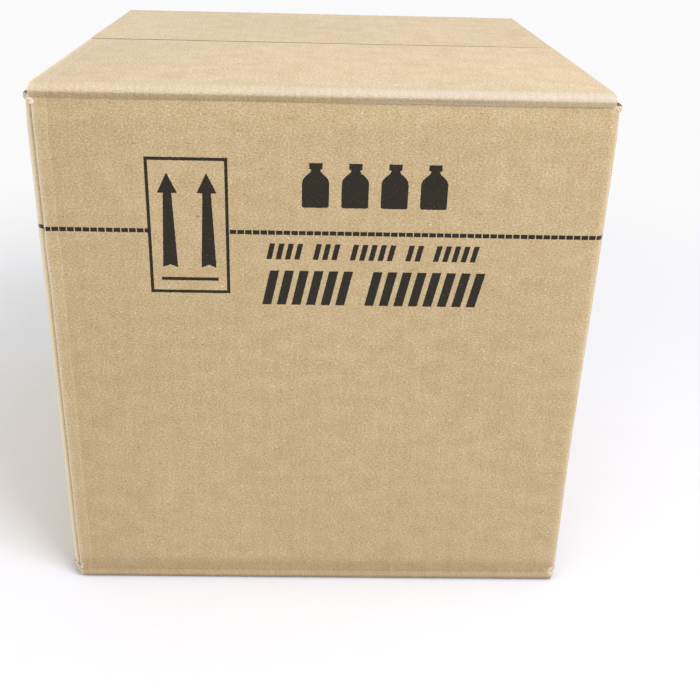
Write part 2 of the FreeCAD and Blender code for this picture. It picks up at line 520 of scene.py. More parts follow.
def fold_rows(blank, panel, level):
    """Heights of the lines that a panel's flap fold needs."""
    sizes = blank.sizes
    sign = LEVELS[level]
    swell = sizes.top_swell if level == "top" else sizes.base_swell
    score = blank.score(panel, level)
    lean = swell - (sizes.top_score if level == "top" else sizes.base_score)
    rows = [score - sign * lean * step for step in (1.35, 1, 0.72, 0.46, 0.22, 0.08)]
    rows += [score + sign * crease.beyond for crease in blank.creases[level]]
    last = rows[-1]
    rows += [last + sign * reach * MM for reach in (1.2, 3.5, 8)]
    return rows


def cut_columns(bm, blank):
    """The upright lines: flap ends, the steps of each vertical fold and the glued edge's line."""
    for before, after in blank.folds:
        for step in range(blank.bend_steps + 1):
            cut_upright(bm, before.last + (after.first - before.last) * step / blank.bend_steps)
        cut_upright(bm, before.flap_last)
        cut_upright(bm, after.flap_first)
        cut_upright(bm, before.flap_last - 2 * MM)
        cut_upright(bm, after.flap_first + 2 * MM)
    line = LOW.x + blank.sizes.lap_line
    cut_upright(bm, blank.left_edge + 1.5 * MM)
    for aside in (-4, -0.6, 0, 0.8, 3):
        cut_upright(bm, line + aside * MM)


def cut_rows(bm, blank):
    """The level lines: slot ends, and for each panel the creases and free edges of its flaps."""
    for up in (blank.slot_top, blank.slot_base):
        cut_level(bm, up, lambda at: True)
    panels = blank.panels[:4]
    for panel in panels:
        first = panel.first - blank.bend
        last = panel.last + blank.bend

        def holds(at):
            in_fold = not panel.flap_first < at.x < panel.flap_last
            upright = blank.slot_base < at.z < blank.slot_top
            return first < at.x < last and (upright or not in_fold)

        for level in LEVELS:
            for up in fold_rows(blank, panel, level):
                cut_level(bm, up, holds)
            cut_level(bm, blank.flap_edge(panel, level), holds)


def trim_blank(bm, blank):
    """Cuts out the slots between the flaps, the flaps' spare length and the glue lap's corners."""
    lap = blank.panels[-1]
    taper = math.radians(15)
    for up, sign in ((blank.slot_top, 1), (blank.slot_base, -1)):
        normal = Vector((math.sin(taper), 0, sign * math.cos(taper)))
        cut(bm, faces_where(bm, lambda at: at.x > lap.first), (lap.first, 0, up), normal)

    def spare(at):
        if blank.slot_base < at.z < blank.slot_top:
            if at.x < lap.first:
                return False
            limit = (at.x - lap.first) * math.tan(taper)
            return at.z > blank.slot_top - limit or at.z < blank.slot_base + limit
        number = blank.flap_panel(at.x, at.z)
        if number == len(blank.panels) - 1:
            return True
        panel = blank.panels[number]
        return not blank.flap_edge(panel, "base") < at.z < blank.flap_edge(panel, "top")

    bmesh.ops.delete(bm, geom=faces_where(bm, spare), context="FACES")


def refine_folds(bm, blank):
    """More columns where the flap folds show the flutes."""
    long_edges = []
    for edge in bm.edges:
        first, last = (vert.co for vert in edge.verts)
        if abs(first.z - last.z) > CLOSE or edge.calc_length() < 5 * MM:
            continue
        middle = (first + last) / 2
        number = blank.flap_panel(middle.x, HIGH.z)
        panel = blank.panels[number]
        if panel is blank.panels[-1]:
            continue
        for level in LEVELS:
            rows = fold_rows(blank, panel, level)
            if min(rows) + CLOSE < middle.z < max(rows) - CLOSE:
                long_edges.append(edge)
    bmesh.ops.subdivide_edges(bm, edges=long_edges, cuts=3)


def face_out(bm):
    """Turns every face outward."""
    bmesh.ops.recalc_face_normals(bm, faces=bm.faces[:])


def give_thickness(bm, blank):
    """Turns the flat sheet into board: two faces and cut edges whose middle is hollowed out."""
    sizes = blank.sizes
    bmesh.ops.solidify(bm, geom=bm.faces[:], thickness=sizes.board)
    face_out(bm)
    rim = []
    for face in bm.faces:
        at = middle_of(face)
        if face.normal.y < -0.5:
            face.material_index = OUTSIDE
        elif face.normal.y > 0.5:
            face.material_index = INSIDE
        elif min(abs(at.z - blank.slot_top), abs(at.z - blank.slot_base)) < CLOSE:
            face.material_index = CUT_LINER
        else:
            face.material_index = HOLLOW
            rim.append(face)
    lips = bmesh.ops.inset_region(
        bm, faces=rim, thickness=sizes.liner, depth=-0.9 * MM, use_boundary=True, use_even_offset=True
    )
    for face in lips["faces"]:
        face.material_index = CUT_LINER


def press(bm, blank):
    """Presses the scores and unevenness into flat board, and notes each corner's place on it."""
    sizes = blank.sizes
    worn_and_lit = bm.verts.layers.float.new("worn_and_lit")
    pressed_and_shaded = bm.verts.layers.float.new("pressed_and_shaded")
    creased = bm.verts.layers.float.new("creased")
    chart = bm.loops.layers.uv.new("blank")
    for face in bm.faces:
        for loop in face.loops:
            loop[chart].uv = loop.vert.co.xz
    spots = []
    for vert in bm.verts:
        along, depth, up = vert.co
        depth /= sizes.board
        vert[worn_and_lit] = wear_and_painted_light(blank, along, up)
        vert[pressed_and_shaded] = blank.pressed_and_shaded(along, up)
        vert[creased] = blank.creased(along, up, 4 * MM)
        vert.co.y = blank.face - blank.relief(along, up) + depth * blank.thickness(along, up)
        vert.co.x += blank.slid(along, up)
        vert.co.z += blank.stray(along, up)
        spots.append((vert, along, up, blank.flap_panel(along, up)))
    return spots


def wear_and_painted_light(blank, along, up):
    """Where the paper is rubbed: the noses of the rolls, the vertical folds and their ends; at the glued
    fold it is also painted light in the fold's shade.
    """
    worn_and_lit = 0
    for before, after in blank.folds:
        past = abs(along - (before.last + after.first) / 2)
        # The glued fold gets a strong, wide share that reaches onto the lap: there it is painted light in
        # the fold's shade.
        glued = after is blank.panels[-1]
        if glued and along > after.first:
            past = min(past, 4 * MM)
        on_fold = fades(past, (6.5 if glued else 4) * MM)
        ridge = fades(past, 1.5 * MM)
        to_end = min(abs(up - blank.slot_top), abs(up - blank.slot_base))
        at_end = fades(to_end, 9 * MM)
        broken = 0.85 + 0.6 * waver(up / 0.03, along, 3)
        worn_and_lit = max(worn_and_lit, on_fold * ((1 if glued else 0.3) + 0.4 * at_end), ridge * (broken + 0.25 * at_end))
        for end in (before.flap_last, after.flap_first):
            to_corner = math.hypot(along - end, to_end)
            worn_and_lit = max(worn_and_lit, fades(to_corner, 5 * MM))
    edge = fades(along - blank.left_edge, 3.2 * MM)
    worn_and_lit = max(worn_and_lit, edge)
    for panel, share in blank.hold(along):
        for level in LEVELS:
            score, shoulder = blank.score(panel, level), blank.shoulder(panel, level)
            past = abs(up - (score + 0.45 * (shoulder - score)))
            rubbed = 0.4 if level == "top" else 0.08
            worn_and_lit = max(worn_and_lit, rubbed * share * fades(past, 5 * MM))
    return min(worn_and_lit, 1)


def fold_flaps(bm, blank, spots):
    """Folds each flap in, crease by crease, from its free edge back to its score."""
    for panel in blank.panels[:4]:
        own = [s for s in spots if panel.flap_first - CLOSE <= s[1] <= panel.flap_last + CLOSE]
        for level, sign in LEVELS.items():
            hinge = blank.face + blank.insets[level] - blank.sizes.face_inset
            score = blank.score(panel, level)
            for crease in reversed(blank.creases[level]):
                line = score + sign * crease.beyond
                moved = [vert for vert, _, up, _ in own if sign * (up - line) > CLOSE]
                turn_in = Matrix.Rotation(-sign * crease.turn, 3, "X")
                bmesh.ops.rotate(bm, verts=moved, cent=(0, hinge, line), matrix=turn_in)


def fold_panels(bm, blank, spots):
    """Folds the panels round the carton, from the glue lap back to the front panel."""
    last = len(blank.panels) - 1
    steps = blank.bend_steps
    for number in range(last - 1, -1, -1):
        start, end = blank.panels[number].last, blank.panels[number + 1].first
        for step in range(steps, -1, -1):
            line = start + (end - start) * step / steps
            at_end = step in (0, steps)
            moved = [
                vert for vert, along, _, flap in spots
                if (along > line + CLOSE if flap is None else flap > number)
            ]
            turn_in = Matrix.Rotation(QUARTER / steps / (2 if at_end else 1), 3, "Z")
            bmesh.ops.rotate(bm, verts=moved, cent=(line, blank.face, 0), matrix=turn_in)


def bow_corner(bm, blank):
    """Pushes the right front fold in a little below its middle."""
    for vert in bm.verts:
        side = smooth((vert.co.x - 0.09) / 0.06)
        front = fades(vert.co.y - LOW.y, 0.12)
        height = smooth(vert.co.z / 0.1) * fades(vert.co.z - 0.1, 0.14)
        vert.co.x -= blank.sizes.bow * side * front * height


def fold_up(bm, blank):
    """Presses flat board and folds it into the carton."""
    spots = press(bm, blank)
    fold_flaps(bm, blank, spots)
    fold_panels(bm, blank, spots)
    bow_corner(bm, blank)


def add_object(name, data):
    made = bpy.data.objects.new(name, data)
    bpy.context.scene.collection.objects.link(made)
    return made


def finish_piece(name, bm, materials, sharp=15):
    """Makes the piece's object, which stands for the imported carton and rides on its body."""
    mesh = bpy.data.meshes.new(name)
    bm.to_mesh(mesh)
    bm.free()
    mesh.shade_smooth()
    mesh.set_sharp_from_angle(angle=math.radians(sharp))
    for material in materials:
        mesh.materials.append(material)
    piece = add_object(name, mesh)
    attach(piece, "root")
    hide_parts("carton")


def lay_sheet(bm, first, last, low, high, columns, rows):
    """A sheet on the flat blank, between two places along it and two heights; gives its corners."""
    verts = bmesh.ops.create_grid(bm, x_segments=columns, y_segments=rows, size=0.5)["verts"]
    bmesh.ops.scale(bm, verts=verts, vec=(last - first, high - low, 1))
    bmesh.ops.rotate(bm, verts=verts, cent=(0, 0, 0), matrix=Matrix.Rotation(QUARTER, 3, "X"))
    bmesh.ops.translate(bm, verts=verts, vec=((first + last) / 2, 0, (low + high) / 2))
    return verts


def make_blank(blank):
    """The whole blank as one sheet of board, cut and slotted but still flat."""
    bm = bmesh.new()
    edges = [blank.flap_edge(panel, level) for panel in blank.panels[:4] for level in LEVELS]
    left, right, base, top = blank.left_edge, blank.right_edge, min(edges), max(edges)
    columns = round((right - left) / blank.sizes.spacing)
    rows = round((top - base) / blank.sizes.spacing)
    lay_sheet(bm, left, right, base, top, columns, rows)
    cut_columns(bm, blank)
    cut_rows(bm, blank)
    trim_blank(bm, blank)
    refine_folds(bm, blank)
    give_thickness(bm, blank)
    return bm


def make_medium(blank):
    """The fluted paper between the liners, as far in as it shows at the outer flaps' cut edges."""
    sizes = blank.sizes
    bm = bmesh.new()
    lip, deep = 0.35 * MM, 0.8 * MM
    for panel in (blank.panels[0], blank.panels[2]):
        first, last = panel.flap_first + lip, panel.flap_last - lip
        columns = round((last - first) / sizes.flute * 8)
        for level, sign in LEVELS.items():
            edge = blank.flap_edge(panel, level) - sign * lip
            near = edge - sign * deep
            start = blank.shoulder(panel, level) + sign * 8 * MM
            lay_sheet(bm, first, last, min(edge, near), max(edge, near), columns, 1)
            for left in (first, last - deep):
                lay_sheet(bm, left, left + deep, min(start, near), max(start, near), 2, 12)
    swing = (sizes.board - 2 * sizes.liner - sizes.medium) / 2
    for vert in bm.verts:
        vert.co.y = sizes.board / 2 + swing * math.sin(2 * math.pi * vert.co.x / sizes.flute)
    face_out(bm)
    bmesh.ops.solidify(bm, geom=bm.faces[:], thickness=sizes.medium)
    face_out(bm)
    return bm


def add_flake(bm, draw, along, up, small):
    """A ragged flake of torn liner that curls away from the board at its loose end."""
    long, wide = small * draw.uniform(2.6, 4.6) * MM, small * draw.uniform(1.6, 2.8) * MM
    curl, lift = small * draw.uniform(0.3, 1.0) * MM, small * draw.uniform(0.1, 0.3) * MM
    verts = lay_sheet(bm, -long / 2, long / 2, -wide / 2, wide / 2, 6, 5)
    seed = draw.uniform(0, 50)
    for vert in verts:
        far = vert.co.x / long + 0.5
        vert.co.z *= 1 - 0.45 * far
        vert.co.x += 0.7 * MM * waver(vert.co.z / (0.7 * MM), seed, 0)
        vert.co.z += 0.6 * MM * waver(vert.co.x / (0.8 * MM), seed, 7)
        ripple = 0.2 * MM * noise.noise(vert.co / MM + Vector((seed, 0, 0)))
        vert.co.y = -lift - curl * far * far + ripple
    turned = Matrix.Rotation(draw.uniform(0, 2 * math.pi), 3, "Y")
    bmesh.ops.rotate(bm, verts=verts, cent=(0, 0, 0), matrix=turned)
    bmesh.ops.translate(bm, verts=verts, vec=(along, 0, up))
    faces = list({face for vert in verts for face in vert.link_faces})
    bmesh.ops.solidify(bm, geom=faces, thickness=FLAKE_THICKNESS)


def add_crumb(bm, draw, along, up, small=1.0):
    """A squashed tuft of loose fibres."""
    radius = small * draw.uniform(0.5, 1.1) * MM
    verts = bmesh.ops.create_icosphere(bm, subdivisions=3, radius=radius)["verts"]
    seed = Vector((draw.uniform(0, 50), 0, 0))
    for vert in verts:
        vert.co *= 1 + 0.5 * noise.noise(vert.co / (0.5 * MM) + seed)
        vert.co.y *= 0.55
    bmesh.ops.translate(bm, verts=verts, vec=(along, draw.uniform(-0.5, 0) * MM, up))


def make_torn_bits(blank):
    """Flakes and tufts at both ends of each vertical fold and of the glued panel's edge."""
    draw = random.Random(23)
    bm = bmesh.new()
    ends = [end for before, after in blank.folds for end in (before.flap_last, after.flap_first)]
    for level, inward, small, outward in (
        (blank.slot_top, -MM, 0.5, 0),
        (blank.slot_base, MM, 1.0, -1.6),
    ):
        for before, after in blank.folds:
            fold = (before.last + after.first) / 2
            for add, count, spread, depth in ((add_flake, 3, 1.6, 2.2), (add_crumb, 2, 1.2, 1.5)):
                for _ in range(count):
                    along = fold + small * draw.gauss(0, spread) * MM
                    add(bm, draw, along, level + draw.uniform(0, depth) * inward, small)
        for end in ends[:-1]:
            add_flake(bm, draw, end, level + draw.uniform(outward, 0.6) * inward, small)
            along = end + draw.gauss(0, 0.5) * MM
            add_crumb(bm, draw, along, level + draw.uniform(1.5 * outward, 0.5) * inward, small)
        for _ in range(6):
            along = blank.left_edge + draw.uniform(-0.5, 2.2) * MM
            add_crumb(bm, draw, along, level + draw.uniform(0.6, 4) * inward)
    face_out(bm)
    return bm


def stick_on(bm, blank):
    """Sticks torn bits to the panels' faces and turns them round the folds with the panels."""
    spots = [(vert, along, up, None) for vert, along, up, _ in press(bm, blank)]
    fold_panels(bm, blank, spots)
    bow_corner(bm, blank)
    for vert in bm.verts:
        vert.co = [min(max(part, low), high) for part, low, high in zip(vert.co, blank.low, blank.high)]


def taking(operation):
    """A field's way to take a sum with numbers or other fields."""
    return lambda field, *others: field.shader.math(operation, field, *others)


class Field:
    """A number, colour or place that differs over a surface: a node's output, open to the usual sums."""

    def __init__(self, shader, socket):
        self.shader = shader
        self.socket = socket

    __add__ = __radd__ = taking("ADD")
    __sub__ = taking("SUBTRACT")
    __mul__ = __rmul__ = taking("MULTIPLY")
    __truediv__ = taking("DIVIDE")
    __lt__ = taking("LESS_THAN")
    __gt__ = taking("GREATER_THAN")
    __or__ = taking("MAXIMUM")
    __abs__ = taking("ABSOLUTE")

    def __rsub__(self, other):
        return self.shader.math("SUBTRACT", other, self)


class Shader:
    """The nodes of a material or a world."""

    def __init__(self, name, kind="materials"):
        self.made = getattr(bpy.data, kind).new(name)
        self.made.use_nodes = True
        self.tree = self.made.node_tree
        self.tree.nodes.clear()

    def node(self, kind, inputs=None, **settings):
        """Adds a node and sets or links its inputs."""
        node = self.tree.nodes.new(kind)
        row, column = divmod(len(self.tree.nodes), 12)
        node.location = (180 * column, -220 * row)
        for name, value in settings.items():
            setattr(node, name, value)
        for name, value in (inputs or {}).items():
            if isinstance(value, Field):
                self.tree.links.new(value.socket, node.inputs[name])
            else:
                node.inputs[name].default_value = value
        return node

    def field(self, kind, output, inputs=None, **settings):
        """Adds a node and gives one of its outputs."""
        return Field(self, self.node(kind, inputs, **settings).outputs[output])

    def math(self, operation, *values):
        return self.field("ShaderNodeMath", 0, dict(enumerate(values)), operation=operation)

    def within(self, value, low, high):
        """1 where a value is between two bounds, else 0."""
        return (value > low) * (value < high)

    def ease(self, value, low, high, start=0.0, end=1.0):
        """A smooth step from one value to another."""
        inputs = {"Value": value, "From Min": low, "From Max": high, "To Min": start, "To Max": end}
        return self.field("ShaderNodeMapRange", "Result", inputs, interpolation_type="SMOOTHSTEP")

    def tint(self, colour, share, other):
        """A colour with this share of another in it."""
        inputs = {0: share, 6: colour, 7: whole(other)}
        return self.field("ShaderNodeMix", 2, inputs, data_type="RGBA")

    def noise(self, place, detail=3.0, roughness=0.55, scale=1.0):
        inputs = {"Vector": place, "Scale": scale, "Detail": detail, "Roughness": roughness}
        return self.field("ShaderNodeTexNoise", "Fac", inputs)

    def stretch(self, place, x, y, turned=0.0):
        inputs = {"Vector": place, "Scale": (x, y, 1), "Rotation": (0, 0, turned)}
        return self.field("ShaderNodeMapping", "Vector", inputs)

    def blank_map(self):
        """The place on the flat blank, in metres: as a vector, along and up."""
        place = self.field("ShaderNodeUVMap", "UV", uv_map="blank")
        parts = self.node("ShaderNodeSeparateXYZ", {"Vector": place}).outputs
        return place, Field(self, parts["X"]), Field(self, parts["Y"])

    def note(self, name):
        return self.field("ShaderNodeAttribute", "Fac", attribute_name=name)

    def flecks(self, place, cell, radius, share, length=1.0, turned=0.0):
        """Scattered specks: one at most in each cell, and in this share of the cells."""
        spread = self.stretch(place, 1 / cell / length, 1 / cell, turned)
        inputs = {"Vector": spread, "Scale": 1.0}
        cells = self.node("ShaderNodeTexVoronoi", inputs, voronoi_dimensions="2D").outputs
        drawn = self.field("ShaderNodeSeparateColor", "Red", {"Color": Field(self, cells["Color"])})
        speck = self.ease(Field(self, cells["Distance"]), radius / cell, 0.4 * radius / cell)
        return speck * (drawn < share)

    def ramp(self, share, stops):
        """A colour ramp through (place, colour) stops, from the first to the last."""
        node = self.node("ShaderNodeValToRGB", {"Fac": share})
        points = node.color_ramp.elements
        points[0].position, points[1].position = stops[0][0], stops[-1][0]
        for at, _ in stops[1:-1]:
            points.new(at)
        for point, (_, colour) in zip(points, stops):
            point.color = whole(colour)
        return Field(self, node.outputs["Color"])

    def shown(self):
        """1 for what is seen straight, mirrored or through glass, and 0 for the light on things."""
        rays = self.node("ShaderNodeLightPath").outputs
        straight, mirrored = Field(self, rays["Is Camera Ray"]), Field(self, rays["Is Glossy Ray"])
        return straight | mirrored | Field(self, rays["Is Transmission Ray"])

    def either(self, share, first, second):
        """One surface or light, and this share of another."""
        return self.field("ShaderNodeMixShader", "Shader", {0: share, 1: first, 2: second})

    def finish(self, colour, roughness, height, relief):
        """The paper's surface: matt, with its colour, roughness, height and the fuzz of its fibres."""
        stand = {"Height": height, "Distance": relief, "Strength": 1.0}
        raised = self.field("ShaderNodeBump", "Normal", stand)
        surface = self.field("ShaderNodeBsdfPrincipled", "BSDF", {
            "Base Color": colour, "Roughness": roughness, "Normal": raised, "IOR": 1.45,
            "Specular IOR Level": GLOSS, "Sheen Weight": SHEEN, "Sheen Roughness": 0.45,
        })
        self.node("ShaderNodeOutputMaterial", {"Surface": surface})
        return self.made


def whole(colour):
    return (*colour, 1.0)


def kraft(shader, paper, base, place, contrast=1.0):
    """Kraft paper's colour and height: clouds, patches and fibres sum to a tone, with shives on top."""
    layers = (
        ((11, 9), 0.0, 3.0, 0.15),
        ((70, 110), 0.3, 3.0, 0.30),
        ((560, 820), 0.0, 2.0, 0.6 * paper.grain),
        ((900, 1700), 0.0, 2.0, 2.0 * paper.grain),
        ((900, 1100), 0.8, 1.0, 0.8 * paper.grain),
    )
    tone, height = 0.0, 0.0
    for (across, upright), turned, detail, weight in layers:
        fibres = shader.noise(shader.stretch(place, across, upright, turned), detail, 0.6)
        tone += (fibres - 0.5) * weight
        if across > 500:
            height += fibres
    colour = shader.ramp(tone * contrast + 0.5, ((0, paper.dark), (0.5, base), (0.8, paper.pale)))
    for cell, radius, length, turned, strength, fleck in (
        (8.5, 0.5, 2.1, 0.5, 0.5, paper.dark),
        (11, 0.5, 2.6, -0.7, 0.45, paper.dark),
        (13, 0.62, 1.2, -0.35, 0.85, paper.worn_and_lit),
    ):
        flecks = shader.flecks(place, cell * MM, radius * MM, 0.3, length, turned)
        colour = shader.tint(colour, flecks * strength, fleck)
    return colour, height


def row_of_strokes(shader, x, z, row):
    """A row of slanted strokes, as wide apart as type, with gaps between its groups."""
    slot = (x - (z - row.low * MM) * row.slant - row.left * MM) / (row.pitch * MM)
    number = shader.math("FLOOR", slot)
    mask = shader.within(shader.math("FRACT", slot), 0.0, row.stroke / row.pitch)
    mask *= shader.within(number, -0.5, row.count - 0.5)
    mask *= shader.within(z, row.low * MM, row.high * MM)
    for gap in row.gaps:
        mask *= abs(number - gap) > 0.5
    return mask


def outline(shader, z, low, high, stops):
    """Half the width of an upright figure at a height: (share of its height, half width) stops."""
    widest = max(width for _, width in stops)
    shares = [(at, [width / widest] * 3) for at, width in stops]
    half = shader.ramp((z - low) / (high - low), shares) * (widest * MM)
    return half * shader.within(z, low, high)


def print_mask(shader, art, blank, place, along, up):
    """1 where the blank is printed: a dashed line all round, and marks on the front and back."""
    shift = (shader.noise(shader.stretch(place, 700, 700), 2.0) - 0.5) * (0.5 * MM)
    half_round = blank.panels[2].middle / 2
    x = shader.math("WRAP", along, half_round, -half_round) + shift
    z = up + shift

    def rectangle(left, right, low, high):
        return shader.within(x, left, right) * shader.within(z, low, high)

    line = art.frame_line
    in_frame = rectangle(art.frame_left, art.frame_right, art.frame_base, art.frame_top)
    inner = rectangle(
        art.frame_left + line, art.frame_right - line, art.frame_base + line, art.frame_top - line)
    mask = in_frame - inner

    aside = abs(x - (art.frame_left + art.frame_right) / 2)
    from_arrow = abs(aside - art.arrow_gap / 2)
    neck = (art.arrow_neck - art.arrow_base) / (art.arrow_tip - art.arrow_base)
    tail, waist, barb = ARROW_HALF_WIDTHS
    stops = ((0, tail), (neck, waist), (neck + 0.001, barb), (1, 0))
    arrow = from_arrow < outline(shader, z, art.arrow_base, art.arrow_tip, stops)
    mask |= arrow * (z > from_arrow * -0.4 + (art.arrow_base + 1.7 * MM))
    mask |= (aside < art.bar_half) * shader.within(z, art.bar - art.bar_rise, art.bar + art.bar_rise)

    in_row = shader.within(z, art.line - art.line_width / 2, art.line + art.line_width / 2)
    beat = shader.math("FRACT", (along - art.frame_right) / art.dash_pitch)
    dashes = in_row * shader.within(beat, DASH_START, DASH_START + art.dash / art.dash_pitch)
    mask |= dashes * (1.0 - in_frame)

    in_slot = shader.math("FRACT", (x - art.bottle_left) / art.bottle_pitch)
    from_bottle = abs(in_slot - 0.5) * art.bottle_pitch
    bottle = from_bottle < outline(shader, z, art.bottle_base, art.bottle_top, BOTTLE_HALF_WIDTHS)
    mask |= bottle * shader.within(x, art.bottle_left, art.bottle_left + 4 * art.bottle_pitch)
    for row in STROKES:
        mask |= row_of_strokes(shader, x, z, row)
    return mask


def printed_liner(paper, art, blank):
    """The outer liner: kraft paper, its print, rubbed folds, and painted shade, painted light and a painted
    glint at its folds.
    """
    shader = Shader("printed_kraft_liner")
    place, along, up = shader.blank_map()
    front = blank.panels[0]
    score, edge = blank.score(front, "top"), blank.shoulder(front, "top")
    base = blank.score(front, "base")

    def strip(low, start, full, high, full_end, end):
        """1 from one line to another, eased in and out over spans in millimetres from the lines."""
        rise = shader.ease(up, low + start * MM, low + full * MM)
        return rise * shader.ease(up, high + end * MM, high + full_end * MM)

    beyond = shader.math("MAXIMUM", up - edge, 0.0)
    grain_place = shader.field("ShaderNodeCombineXYZ", "Vector", {"X": along, "Y": up - beyond * 0.42})
    contrast = shader.ease(beyond, 2 * MM, 9 * MM, 1.0, 1.25)
    colour, height = kraft(shader, paper, paper.kraft, grain_place, contrast)

    # The flutes show faintly on the panels, and as ribs, twice as close, crushed into the folds: both are
    # bumped, and their shade is painted in as darker stripes.
    flutes = shader.math("COSINE", along * (2 * math.pi / blank.sizes.flute))
    colour = shader.tint(colour, shader.ease(flutes, -1, 1, 0.0, 0.035), paper.dark)
    patchy = shader.ease(shader.noise(shader.stretch(place, 90, 60), 2.0), 0.35, 0.65, 0.25, 1.0)
    ribs = shader.math("COSINE", along * (4 * math.pi / blank.sizes.flute))
    ribs *= patchy * shader.note("creased")
    colour = shader.tint(colour, shader.ease(ribs, 0.0, 1.0, 0.0, 0.14), paper.dark)

    # Painted sheen: the top roll is tinted towards a pale grey, most at the right, where the shaded band
    # under it is painted paler too.
    on_roll = strip(score, 3.2, 5, edge, -1, 3.5)
    colour = shader.tint(colour, on_roll * shader.ease(along, -0.15, 0.15, 0.2, 0.5), paper.glint)
    in_band = strip(score, 0.2, 1.2, score, 3, 5)
    colour = shader.tint(colour, in_band * shader.ease(along, 0.06, 0.15, 0.0, 0.5), paper.worn_and_lit)

    # Painted shade darkens the panel's upper left, the base roll and the board above its base score.
    at_left = shader.ease(along, -60 * MM, -150 * MM)
    upper_left_shade = at_left * shader.ease(up, 230 * MM, 300 * MM, 0.05, 0.12)
    off_roll = 1.0 - strip(score, -1, 0.5, edge, 1, 4)
    colour = shader.tint(colour, upper_left_shade * off_roll, paper.dark)
    colour = shader.tint(colour, shader.ease(up, base + 1 * MM, base - 1 * MM, 0.0, 0.12), paper.dark)
    colour = shader.tint(colour, strip(base, -0.3, 0.5, base, 4.5, 11.5) * 0.29, paper.dark)

    # Painted light: the glued panel is paler where it stands out over the lap and faces the light, and a
    # painted highlight runs along its ridge.
    joint = along + (shader.noise(shader.stretch(place, 20, 26)) - 0.5) * (5 * MM)
    line = LOW.x + blank.sizes.lap_line
    raised = shader.ease(joint, line + 0.4 * MM, line - 0.4 * MM, 0.0, 0.05)
    ridge_highlight = shader.ease(abs(joint - (line - 0.4 * MM)), 0.9 * MM, 0.1 * MM, 0.0, 0.2)
    colour = shader.tint(colour, raised | ridge_highlight, paper.worn_and_lit)

    for x, z, across, strength, speck in SPECKS:
        to_x = (along - x * MM) / (across * MM)
        to_z = (up - z * MM) / (0.7 * across * MM)
        near = shader.ease(to_x * to_x + to_z * to_z, 1.0, 0.2, 0.0, strength)
        colour = shader.tint(colour, near, getattr(paper, speck))

    # The squeezed fibres of the scores, and painted shade in and beside them, widest above the base score.
    colour = shader.tint(colour, shader.note("pressed_and_shaded") * 0.33, paper.dark)
    # Rubbed and torn fibres turn paler; beside the glued fold the same pale is painted light in its shade.
    fuzz = shader.noise(shader.stretch(place, 420, 760), 4.0, 0.7)
    worn_and_lit = shader.note("worn_and_lit")
    rubbed = worn_and_lit * shader.ease(fuzz, 0.36, 0.68)
    torn = shader.ease(worn_and_lit, 0.55, 0.95) * shader.ease(fuzz, 0.25, 0.45, 0.0, 0.9)
    colour = shader.tint(colour, rubbed | torn, paper.worn_and_lit)

    # A painted glint: a thin pale line along the top score that tapers off at both ends.
    taper = (along - 62 * MM) / (59 * MM)
    from_line = abs(up - (score + 1.4 * MM)) / (0.5 * MM)
    shine = shader.ease(1.0 - taper * taper - from_line, 0.0, 0.3) * 0.75
    colour = shader.tint(colour, shine, paper.glint)

    inked = print_mask(shader, art, blank, place, along, up)
    mottle = shader.noise(shader.stretch(place, 900, 1300), 2.0)
    colour = shader.tint(colour, inked * shader.ease(mottle, 0.78, 0.62, 0.7, 0.98), paper.ink)
    roughness = paper.roughness - inked * 0.2
    return shader.finish(colour, roughness, height + flutes * 0.5 - ribs * 0.8, PAPER_RELIEF)


def plain_liner(paper):
    """The inner liner, which no print or wear reaches."""
    shader = Shader("inner_kraft_liner")
    colour, height = kraft(shader, paper, paper.inside, shader.blank_map()[0])
    return shader.finish(colour, paper.roughness, height, PAPER_RELIEF)


def cut_paper(name, paper, base, rough, shaded=0.35):
    """Paper that is cut or torn: fuzzy, with fibres that stand out."""
    shader = Shader(name)
    place = shader.field("ShaderNodeTexCoord", "Object")
    fuzz = shader.noise(place, 4.0, 0.7, 900.0)
    colour = shader.tint(whole(base), shader.ease(fuzz, 0.3, 0.7), paper.worn_and_lit)
    shade = shader.noise(place, 2.0, scale=160.0)
    colour = shader.tint(colour, shader.ease(shade, 0.4, 0.7, 0.0, shaded), paper.dark)
    return shader.finish(colour, rough, fuzz, 0.15 * MM)

class CARTON_OT_fold_board(bpy.types.Operator):
    """Cut, score and fold the carton's printed blank"""
    bl_idname = "carton.fold_board"
    bl_label = "Fold Board"

    def execute(self, context):
        scene = context.scene
        paper = scene.carton_paper
        blank = Blank(scene.carton_sizes)
        bm = make_blank(blank)
        fold_up(bm, blank)
        finish_piece("carton_board", bm, (
            printed_liner(paper, scene.carton_print, blank),
            plain_liner(paper),
            cut_paper("cut_liner", paper, paper.kraft, 0.9),
            cut_paper("hollow_edge", paper, paper.medium, 0.95),
        ))
        return {"FINISHED"}


class CARTON_OT_set_medium(bpy.types.Operator):
    """Set the fluted paper into the outer flaps' cut edges"""
    bl_idname = "carton.set_medium"
    bl_label = "Set Medium"

    def execute(self, context):
        blank = Blank(context.scene.carton_sizes)
        bm = make_medium(blank)
        fold_up(bm, blank)
        paper = context.scene.carton_paper
        finish_piece("fluted_medium", bm, (cut_paper("fluted_medium", paper, paper.medium, 0.95),), sharp=40)
        return {"FINISHED"}


class CARTON_OT_tear_liner(bpy.types.Operator):
    """Add the torn liner and loose fibres at the ends of the vertical folds"""
    bl_idname = "carton.tear_liner"
    bl_label = "Tear Liner"

    def execute(self, context):
        blank = Blank(context.scene.carton_sizes)
        bm = make_torn_bits(blank)
        stick_on(bm, blank)
        paper = context.scene.carton_paper
        finish_piece("torn_liner", bm, (cut_paper("torn_liner", paper, paper.torn, 0.95, 0.12),), sharp=40)
        return {"FINISHED"}


def add_lamp(name, place, target, across, power, tint):
    """A soft square lamp that faces a target."""
    lamp = bpy.data.lights.new(name, "AREA")
    lamp.shape = "SQUARE"
    lamp.size = across
    lamp.energy = power
    lamp.color = tint
    holder = add_object(name, lamp)
    holder.location = place
    holder.rotation_euler = (Vector(target) - Vector(place)).to_track_quat("-Z", "Y").to_euler()


